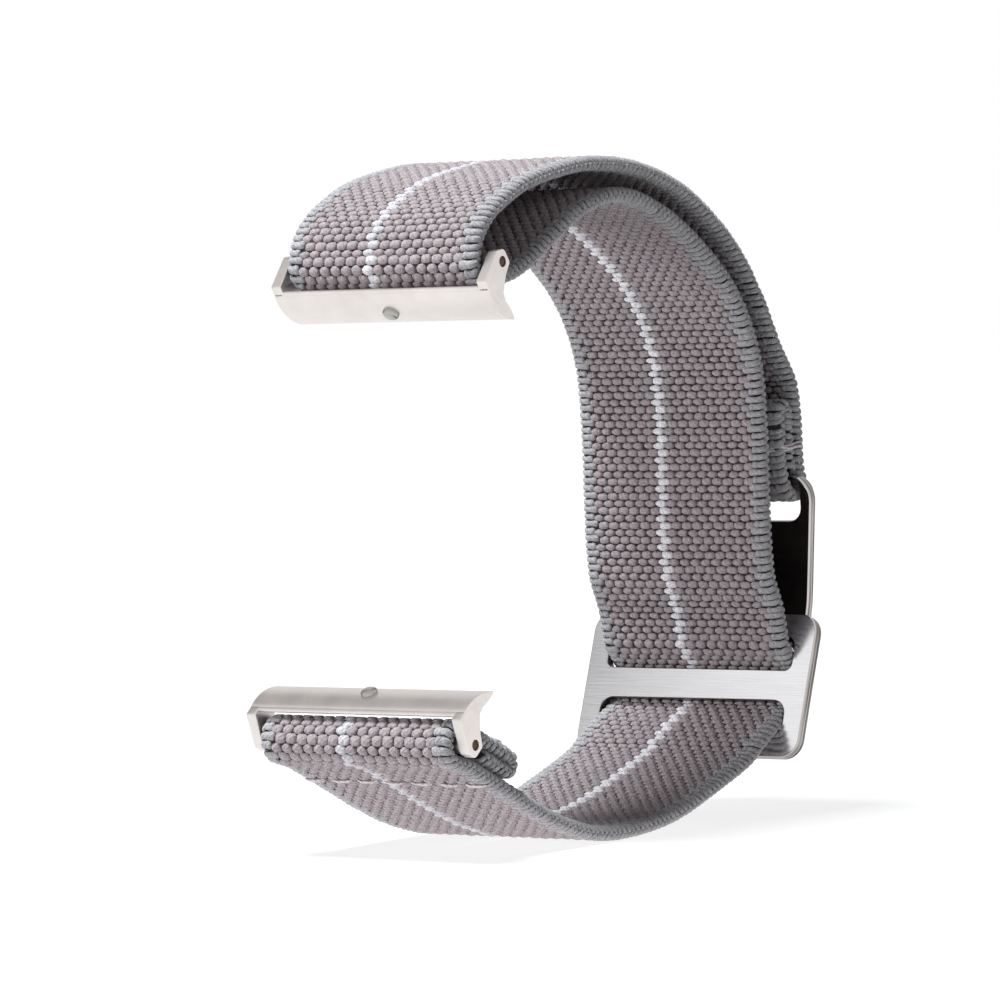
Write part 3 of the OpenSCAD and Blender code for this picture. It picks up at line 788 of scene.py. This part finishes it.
hookPlate = {
    "width": 22.6, "lowWidth": 19.9, "thick": 0.9, "bevel": 0.15, "cornerR": 2.2, "lowR": 0.5, "waistR": 3.0,
    "slotBevel": 0.1, "slotWidth": 19.8, "slotHigh": 3.0, "slotLowR": 1.25, "slotTopR": 0.4,
    "outBy": 1.15, "bendU": -6.45 - 0.72 * 0.9, "bendHalf": 1.5, "railFrom": 0.95, "railFade": 0.4,
    "lipTop": 4.2, "lipThick": 0.7, "lipWidth": 18.2, "lipReach": (0.1, 1.15), "lipBevel": 0.18, "lipR": 0.2,
    "bendCuts": (1.5, 1.1, 0.7, 0.35, 0, -0.35, -0.7, -1.1, -1.5), "railCuts": (-0.6, -0.75, -0.95),
}
h = hookPlate
hookBend = onSlider(h["bendU"], h["outBy"])
hookEnd = onSlider(-h["lipTop"] + h["lipThick"], h["outBy"])
upperLong, lowerLong = float(np.linalg.norm(hookBend - rail)), float(np.linalg.norm(hookEnd - hookBend))
upperWay, lowerWay = (hookBend - rail) / upperLong, (hookEnd - hookBend) / lowerLong


def onHook(x, v, w):
    # The plate's two straight parts meet in a soft bend
    down, half = -v, h["bendHalf"]
    share = min(max((down - (upperLong - half)) / (2 * half), 0), 1)
    if down <= upperLong - half:
        p = rail + upperWay * down
    elif down >= upperLong + half:
        p = hookBend + lowerWay * (down - upperLong)
    else:
        a, c = hookBend - upperWay * half, hookBend + lowerWay * half
        p = a * (1 - share) ** 2 + 2 * hookBend * share * (1 - share) + c * share ** 2
    d = upperWay * (1 - share) + lowerWay * share
    d /= np.linalg.norm(d)
    # the rail is a little thicker than the plate
    if down < h["railFrom"]:
        w *= 1 + (sizes["railD"] / h["thick"] - 1) * min(max((h["railFrom"] - down) / h["railFade"], 0), 1)
    q = p + w * np.array([-d[1], d[0]])
    return placed(x, q[0], q[1])


def onLip(x, v, w):
    # The lip turns inwards at the plate's foot: v runs across it, w through its thickness
    y, z = onSlider(-h["lipTop"] + h["lipThick"] / 2 + w, v)
    return placed(x, y, z)


def hookMeshes():
    low, wide, top, reach = h["lowWidth"] / 2, h["width"] / 2, sizes["railD"] / 2, upperLong + lowerLong
    outline = roundedOutline([(-low, -reach), (low, -reach), (low, -upperLong), (wide, top), (-wide, top),
                (-low, -upperLong)],
            [h[key] for key in ("lowR", "lowR", "waistR", "cornerR", "cornerR", "waistR")], 9)
    slot = boxOutline(h["slotWidth"], -top - h["slotHigh"], -top, h["slotLowR"], h["slotTopR"])
    cuts = [-upperLong + d for d in h["bendCuts"]] + list(h["railCuts"])
    lip = boxOutline(h["lipWidth"], *h["lipReach"], h["lipR"], h["lipR"])
    return [plateMesh("hook", outline, [slot], h["thick"], h["bevel"], plateSteel, onHook, cuts=cuts,
                      holeBevel=h["slotBevel"], bent=True),
            plateMesh("lip", lip, [], h["lipThick"], h["lipBevel"], plateSteel, onLip)]


hook = joined("hookPlate", hookMeshes(), plateSteel)
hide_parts("hook_plate", "hook_lip")
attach(hook, "hook")
print("hook plate made")

# Side outlines are measured from the spring bar's axis, backwards and away from the loop's middle
adapterShape = {
    "width": 22.6, "arm": 1.0, "bevel": 0.11, "holeD": 0.9, "holeBevel": 0.05, "webIn": 0.1, "webBevel": 0.08,
    "tongue": (4.3, 1.15), "tongueAt": (0.2, -3.5), "tilt": radians(27.7), "tongueIn": 0.05,
    "tongueBevel": 0.07,
    "armSide": [(-2.2, -1.9), (-1.6, -2.6), (0.2, -3.5), (0.75, -3.1), (0.35, -2.55), (0.6, -1.0), (1.0, 0.1),
                (0.1, 1.1), (-0.8, 0.8)],
    "armRound": [0.2, 0.2, 0.2, 0.18, 0.3, 0.5, 0.35, 0.45, 0.35],
    "webSide": [(-2.2, -1.9), (-1.6, -2.6), (0.2, -3.5), (0.75, -3.1), (0.35, -2.55), (-0.6, -2.45)],
    "webRound": [0.2, 0.2, 0.15, 0.18, 0.2, 0.3],
}


def tongueOutline():
    # Two shallow arcs that meet in blunt ends
    a = adapterShape
    long, thin = a["tongue"][0] / 2, a["tongue"][1] / 2
    r = (long ** 2 + thin ** 2) / (2 * thin)
    spread = asin((long - 0.1) / r)
    lens = [(r * sin(t), r * cos(t) - r + thin) for t in np.linspace(-spread, spread, 15)]
    lens += [(-x, -y) for x, y in lens]
    c, s = cos(-a["tilt"]), sin(-a["tilt"])
    atY, atZ = a["tongueAt"]
    return np.array([(atY + x * c - y * s, atZ + x * s + y * c) for x, y in lens][::-1])


def adapterPiece(name, body, end):
    # Two arms, the web between them and the oval tongue, from their side outlines
    a = adapterShape
    materials = [adapterMetal, adapterMetal]

    def sideways(offset):
        def toPlace(dy, dz, w):
            return placed(offset + w, dy, end * (sizes["barZ"] + dz))
        return toPlace

    circle = [(a["holeD"] / 2 * cos(t), a["holeD"] / 2 * sin(t)) for t in np.linspace(0, 2 * pi, 33)[:-1]]
    arm = roundedOutline(a["armSide"], a["armRound"], 5)
    parts = [plateMesh(name + "Arm", arm, [circle], a["arm"], a["bevel"], materials,
                sideways(x * (a["width"] - a["arm"]) / 2), holeBevel=a["holeBevel"]) for x in (-1, 1)]
    parts.append(plateMesh(name + "Web", roundedOutline(a["webSide"], a["webRound"], 5), [],
                a["width"] - a["webIn"], a["webBevel"], materials, sideways(0)))
    parts.append(plateMesh(name + "Tongue", tongueOutline(), [], a["width"] - a["tongueIn"], a["tongueBevel"],
                materials, sideways(0)))
    piece = joined(name, parts, materials)
    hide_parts(body)
    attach(piece, body)


def turned(name, profile, middle, node, body, material, axis=(1, 0, 0), sides=32):
    # A profile of (distance along, radius) spun about an axis, either a ring or closed at its ends
    axis = np.array(axis, float) / np.linalg.norm(axis)
    side = np.cross(axis, (0, 0, 1) if abs(axis[2]) < 0.9 else (0, 1, 0))
    side /= np.linalg.norm(side)
    third = np.cross(axis, side)
    turns = np.arange(sides) * 2 * pi / sides
    points = [middle + axis * a / 1000 + (side * cos(t) + third * sin(t)) * r / 1000
              for a, r in profile for t in turns]
    m = len(profile)
    ring = profile[0][1] > 0.01
    groups = [(ringQuads(m + ring, sides) % (m * sides), 0)]
    if not ring:
        groups.append((ringCaps(m, sides), 0))
    piece = makePiece(name, np.array(points), groups, [material])
    faceOutwards(piece, weld=True)
    sharpen(piece)
    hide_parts(node)
    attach(piece, body)


springBar = {"tubeEnd": 10.15, "tubeR": 0.75, "boreR": 0.55, "tipR": 0.42, "shankR": 0.52, "shankIn": 7.15,
             "shankLong": 2.6, "tipEnd": 11.2, "coilR": 0.40, "wireR": 0.07, "turns": 26, "coilAir": 0.05,
             "perTurn": 14, "wireSides": 6}


def springCoil(name, middle, node, sign):
    # Half a spring, which is squeezed between the bar's middle and the tip on its side
    b, sides = springBar, springBar["wireSides"]
    long = b["shankIn"] - b["coilAir"]
    n = b["turns"] // 2 * b["perTurn"]
    points = []
    for k in range(n + 1):
        t = 2 * pi * k / b["perTurn"]
        out = np.array([0, cos(t), sin(t)])
        for a in np.arange(sides) * 2 * pi / sides:
            x = sign * long * k / n + b["wireR"] * sin(a)
            spot = np.array([x, 0, 0]) + out * (b["coilR"] + b["wireR"] * cos(a))
            points.append(middle + spot / 1000)
    groups = [(ringQuads(n + 1, sides), 0), (ringCaps(n + 1, sides), 0)]
    piece = makePiece(name, np.array(points), groups, [turnedSteel])
    faceOutwards(piece)
    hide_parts(node)
    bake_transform(piece)


lockPin = {"r": 0.7, "low": -0.975, "high": -0.025}


def springBarPieces(word, end):
    b, middle = springBar, placed(0, 0, end * sizes["barZ"])
    e = b["tubeEnd"]
    right = [(e - 0.9, b["tubeR"]), (e - 0.14, b["tubeR"]), (e - 0.05, 0.7), (e, 0.58)]
    tube = [(-x, r) for x, r in right[::-1]] + right + [(e, b["boreR"]), (-e, b["boreR"])]
    turned(word + "BarTube", tube, middle, word + "_bar_tube", word + "_adapter",
           turnedSteel)
    x0, x1, x2 = b["shankIn"], b["shankIn"] + b["shankLong"], b["tipEnd"]
    tip = [(x0, 0.0), (x0, 0.4), (x0 + 0.1, b["shankR"]), (x1 - 0.12, b["shankR"]), (x1, b["tipR"]),
           (x2 - 0.1, b["tipR"]), (x2 - 0.03, 0.36), (x2, 0.26), (x2, 0.0)]
    for way, sign in (("left", -1), ("right", 1)):
        springCoil(word + "Spring" + way.capitalize(), middle, word + "_bar_spring",
                sign)
        turned(word + "Tip" + way.capitalize(), tip, middle, f"{word}_bar_tip_{way}", f"{word}_tip_{way}",
               brownOxide, (sign, 0, 0))


def lockPinPiece(word, end):
    p, tilt = lockPin, adapterShape["tilt"]
    way = placed(0, sin(tilt), end * cos(tilt)) - placed(0, 0, 0)
    atY, atZ = adapterShape["tongueAt"]
    profile = [(p["low"], 0.0), (p["low"], 0.42), (p["low"] + 0.08, 0.6), (p["low"] + 0.22, p["r"]),
               (p["high"] - 0.05, p["r"]), (p["high"], 0.64), (p["high"], 0.0)]
    turned(word + "LockPin", profile, placed(0, atY, end * (sizes["barZ"] + atZ)), word + "_lock_pin",
           word + "_lock", turnedSteel, way)


for word, end in (("upper", 1), ("lower", -1)):
    adapterPiece(word + "Adapter", word + "_adapter", end)
    springBarPieces(word, end)
    lockPinPiece(word, end)
print("adapters and spring bars made")

stitching = {"tailR": 0.1, "lowR": 0.075, "long": 2.2, "count": 7, "tailPitch": 2.6, "lowPitch": 17 / 6,
             "tailRow": 3.3, "apart": 0.1, "rise": 0.16, "sunk": 0.12, "over": 0.06, "midJitter": 0.06,
             "skewJitter": 0.07, "bowJitter": 0.04}
edgeTack = {"r": 0.09, "strands": 4, "from": 8.1, "reach": 1.5, "out": 2.08, "row": 3.0, "pitch": 0.17,
            "start": 52, "stagger": 7, "end": 72, "dive": 0.6, "reachJitter": 0.03, "waveJitter": 0.3}


def threadTube(path, radii, way, sides=8):
    # A closed length of thread along a path in mm, with way for its sideways direction
    along = np.gradient(path, axis=0)
    along /= np.linalg.norm(along, axis=1)[:, None]
    side = np.broadcast_to(np.array(way, float), path.shape)
    side = side - (side * along).sum(1)[:, None] * along
    side /= np.linalg.norm(side, axis=1)[:, None]
    up = np.cross(along, side)
    turns = np.arange(sides) * 2 * pi / sides
    rings = [p + r * (cos(t) * u + sin(t) * s)
             for p, r, s, u in zip(path, radii, side, up) for t in turns]
    return np.array(rings), ringQuads(len(path), sides), ringCaps(len(path), sides)


def stitchRow(spots, pitch, r, rng):
    # Rows of lockstitch: every stitch is two arched lengths of thread whose ends dive into the weave
    t, tubes = stitching, []
    stations = np.linspace(-1, 1, 11)
    for (y, z), (ny, nz), (ty, tz) in spots:
        for k in range(t["count"]):
            for strand in (-1, 1):
                mid = (k - (t["count"] - 1) / 2) * pitch + rng.normal(0, t["midJitter"])
                skew, bow = rng.normal(0, t["skewJitter"]), rng.normal(0, t["bowJitter"])
                rise = t["rise"] * (1 - np.abs(stations) ** 3.5) - t["sunk"]
                v = strand * t["apart"] * (1 - 0.5 * stations ** 2) + skew * stations + bow
                x = mid + t["long"] / 2 * stations
                path = np.stack([x, y + ny * rise + ty * v, z + nz * rise + tz * v], -1)
                tubes.append(threadTube(path, r * (1 - 0.25 * np.abs(stations) ** 4), (0, ty, tz)))
    return tubes


def squarer(value):
    return np.sign(value) * np.abs(value) ** 0.55


def bartack(rng):
    # Strands that wrap all three layers at both edges of the tail
    b, tubes = edgeTack, []
    for edge in (-1, 1):
        for k in range(b["strands"]):
            t = np.radians(np.linspace(-b["start"] - b["stagger"] * (k % 3), b["end"], 41))
            # both ends dive into the cloth
            low = np.clip((-t - 0.62 - 0.12 * (k % 3)) / 0.28, 0, 1)
            dive = b["dive"] * (np.clip((t - 0.9) / 0.35, 0, 1) - low)
            x = b["from"] + (b["reach"] + rng.normal(0, b["reachJitter"])) * squarer(np.cos(t))
            n = b["out"] * squarer(np.sin(t)) - dive
            v = (b["row"] - 0.5 * np.sin(t + rng.normal(0, b["waveJitter"])) + (k - 1.5) * b["pitch"]
                 + 0.09 * np.sin(3 * t + 2 * k))
            spots = np.array([onRail(a, c) for a, c in zip(v, n)])
            path = np.column_stack([edge * x, spots])
            tubes.append(threadTube(path, np.full(len(t), b["r"]), (0, *upTail)))
    return tubes


def threadPiece(name, tubes, node, body):
    counts = np.cumsum([0] + [len(rings) for rings, _, _ in tubes])
    quads, caps = (np.concatenate([tube[part] + count for tube, count in zip(tubes, counts)])
                   for part in (1, 2))
    p = np.concatenate([rings for rings, _, _ in tubes])
    piece = makePiece(name, placed(*p.T), [(quads, 0), (caps, 0)], [thread])
    faceOutwards(piece)
    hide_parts(node)
    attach(piece, body)


rng = np.random.default_rng(5)
outTail, upTail = onRail(0, 1) - rail, onRail(1, 0) - rail
reachOut = sizes["layer"] + sizes["halfT"] + stitching["over"]
tailRows = [(onRail(stitching["tailRow"], side * reachOut), side * outTail, upTail) for side in (1, -1)]
tailTubes = stitchRow(tailRows, stitching["tailPitch"], stitching["tailR"], rng) + bartack(rng)
threadPiece("tailStitching", tailTubes, "tail_stitching", "tail")
inward, back = onFold(0, 1) - lowFoldMid, onFold(1, 0) - lowFoldMid
lowRows = [(onFold(0.0, -sizes["halfT"] - stitching["over"]), -inward, back),
           (onFold(0.0, 2 * sizes["layer"] + sizes["halfT"] + stitching["over"]), inward, back)]
threadPiece("lowerStitching", stitchRow(lowRows, stitching["lowPitch"], stitching["lowR"], rng),
            "lower_end_stitching", "strap")
print("stitching made")

# The floor and the world are white to the eye and in mirror images, and far dimmer as light on matt surfaces
studio = {
    "floorCode": "#828282", "worldLight": 0.09, "floorGlow": (0.82, 1.0), "glowSpan": (0.08, 0.6),
    "floorBounce": 0.55, "floorR": 16.0, "floorDrop": 0.00002,
    "reflector": 1.6, "reflectorX": (0.011, 0.022), "reflectorY": (0.018, 0.032), "reflectorMidY": -0.008,
}
lamps = {
    "keyLamp": {"at": (-0.47, -0.62, 0.06), "size": 0.32, "watts": 6.0, "tint": (1.0, 1.0, 1.0)},
    "fillLamp": {"at": (0.52, -0.20, 0.25), "size": 0.4, "watts": 0.5, "tint": (1.0, 1.0, 1.0)},
    "topLamp": {"at": (-0.10, -0.20, 0.66), "size": 0.24, "watts": 8.4, "tint": (0.94, 1.0, 1.0)},
}
lampsAim = Vector((0, 0, 0.03))
# A grey card at the left, which only the metals mirror: the slider's face falls off towards its left end
greyCard = {"level": 0.46, "wide": 0.12, "high": 0.2, "away": 0.11, "edgeAt": 0.0002,
            "toCard": (-0.609, -0.654, 0.449)}


def seenDirectly(add):
    # 1 for what the camera sees, also in a mirror image or through glass, and 0 for light on matt surfaces
    path = add("LightPath").outputs
    seen = add("Math", {"operation": "MAXIMUM"}, {0: path["Is Camera Ray"], 1: path["Is Glossy Ray"]})
    return add("Math", {"operation": "MAXIMUM"}, {0: seen, 1: path["Is Transmission Ray"]})


def floorMaterial():
    material, add = startMaterial("paleFloor")
    where = add("TexCoord").outputs["Object"]
    # the floor is as white as the backdrop away from the object, and leaves room for its shadow close by
    away = add("VectorMath", {"operation": "LENGTH"}, {0: where}).outputs["Value"]
    (start, end), (low, high) = studio["glowSpan"], studio["floorGlow"]
    fade = add("MapRange",
            {"From Min": start, "From Max": end, "To Min": low, "To Max": high}, {"Value": away})
    # a white reflector lies right under the strap and lights its underside; only matt surfaces see it
    place = add("SeparateXYZ", links={"Vector": where}).outputs
    fromX = add("Math", {"operation": "ABSOLUTE"}, {0: place["X"]})
    shiftY = add("Math", {"operation": "SUBTRACT", 1: studio["reflectorMidY"]}, {0: place["Y"]})
    fromY = add("Math", {"operation": "ABSOLUTE"}, {0: shiftY})
    overX, overY = (add("MapRange",
                {"From Min": inner, "From Max": outer, "To Min": 1.0, "To Max": 0.0}, {"Value": source})
            for (inner, outer), source in ((studio["reflectorX"], fromX), (studio["reflectorY"], fromY)))
    over = add("Math", {"operation": "MULTIPLY"}, {0: overX, 1: overY})
    bounce = add("MapRange", {"To Min": studio["floorBounce"], "To Max": studio["reflector"]},
            {"Value": over})
    shown = add("MapRange", {"To Max": 1.0}, {"Value": seenDirectly(add), "To Min": bounce})
    glow = add("Math", {"operation": "MULTIPLY"}, {0: shown, 1: fade})
    matt = add("BsdfDiffuse", {"Color": linearColour(studio["floorCode"])})
    light = add("Emission", {"Color": (1, 1, 1, 1)}, {"Strength": glow})
    both = add("AddShader", links={0: matt, 1: light})
    add("OutputMaterial", links={"Surface": both})
    return material


def layFloor():
    shape = bmesh.new()
    bmesh.ops.create_circle(shape, cap_ends=True, radius=studio["floorR"], segments=96)
    floor = showMesh("floor", asMesh("floor", shape), [floorMaterial()])
    floor.location = (0, 0, -studio["floorDrop"])


def lightWorld():
    world = bpy.data.worlds.new("studio")
    bpy.context.scene.world = world
    world.use_nodes = True
    world.node_tree.nodes.clear()
    add = nodeAdder(world.node_tree)
    strength = add("MapRange", {"To Min": studio["worldLight"], "To Max": 1.0},
            {"Value": seenDirectly(add)})
    sky = add("Background", {"Color": (1, 1, 1, 1)}, {"Strength": strength})
    add("OutputWorld", links={"Surface": sky})


def reflectionCard():
    material, add = startMaterial("greyCard")
    light = add("Emission", {"Color": (1, 1, 1, 1), "Strength": greyCard["level"]})
    add("OutputMaterial", links={"Surface": light})
    way = Vector(greyCard["toCard"]).normalized()
    left = way.cross(Vector((0, 0, 1))).normalized()
    up = left.cross(way)
    start = Vector(placed(0, *sliderMid)) + way * greyCard["away"] + left * greyCard["edgeAt"]
    corners = [start + left * a * greyCard["wide"] + up * (b - 0.5) * greyCard["high"]
               for a, b in ((0, 0), (1, 0), (1, 1), (0, 1))]
    mesh = bpy.data.meshes.new("greyCard")
    mesh.from_pydata(corners, [], [(0, 1, 2, 3)])
    card = showMesh("greyCard", mesh, [material])
    card.visible_camera = card.visible_diffuse = card.visible_shadow = card.visible_transmission = False


def hangLamp(name, lamp):
    data = bpy.data.lights.new(name, "AREA")
    data.shape, data.size, data.energy, data.color = "DISK", lamp["size"], lamp["watts"], lamp["tint"]
    made = bpy.data.objects.new(name, data)
    made.location = lamp["at"]
    made.visible_glossy = False
    made.rotation_euler = (lampsAim - Vector(lamp["at"])).to_track_quat("-Z", "Y").to_euler()
    bpy.context.scene.collection.objects.link(made)


layFloor()
lightWorld()
reflectionCard()
for name, lamp in lamps.items():
    hangLamp(name, lamp)

# The photograph's camera, fitted in the strap's own frame: turn, tilt and roll in degrees, distance in mm,
# focal length and middle in pixels of a frame 1000 wide and high, and the clipping in m
view = {
    "turn": 37.657, "tilt": -4.198, "roll": 3.189, "far": 484.2, "focal": 5885.0, "midX": 380.7,
    "midY": 502.7, "frame": 1000, "sensorMm": 36, "near": 0.01, "farthest": 60,
}


def photoCamera():
    a, e, r = (radians(view[k]) for k in ("turn", "tilt", "roll"))
    right = np.array([cos(a), sin(a), 0.0])
    backward = np.array([sin(a) * cos(e), -cos(a) * cos(e), sin(e)])
    up = np.cross(backward, right)
    right, up = right * cos(r) + up * sin(r), up * cos(r) - right * sin(r)
    half = view["frame"] / 2
    u, v = (view["midX"] - half) / view["focal"], (half - view["midY"]) / view["focal"]
    place = np.eye(4)
    for j, axis in enumerate((right, up, backward)):
        place[:3, j] = (placed(*axis) - placed(0, 0, 0)) * 1000
    place[:3, 3] = placed(*((backward - u * right - v * up) * view["far"]))
    data = bpy.data.cameras.new("photoCamera")
    data.sensor_width = view["sensorMm"]
    data.lens = view["focal"] / view["frame"] * view["sensorMm"]
    data.clip_start, data.clip_end = view["near"], view["farthest"]
    made = bpy.data.objects.new("photoCamera", data)
    bpy.context.scene.collection.objects.link(made)
    made.matrix_world = Matrix(place.tolist())
    bpy.context.scene.camera = made


photoCamera()
bpy.context.scene.view_settings.view_transform = "Standard"
print("stage and camera set")
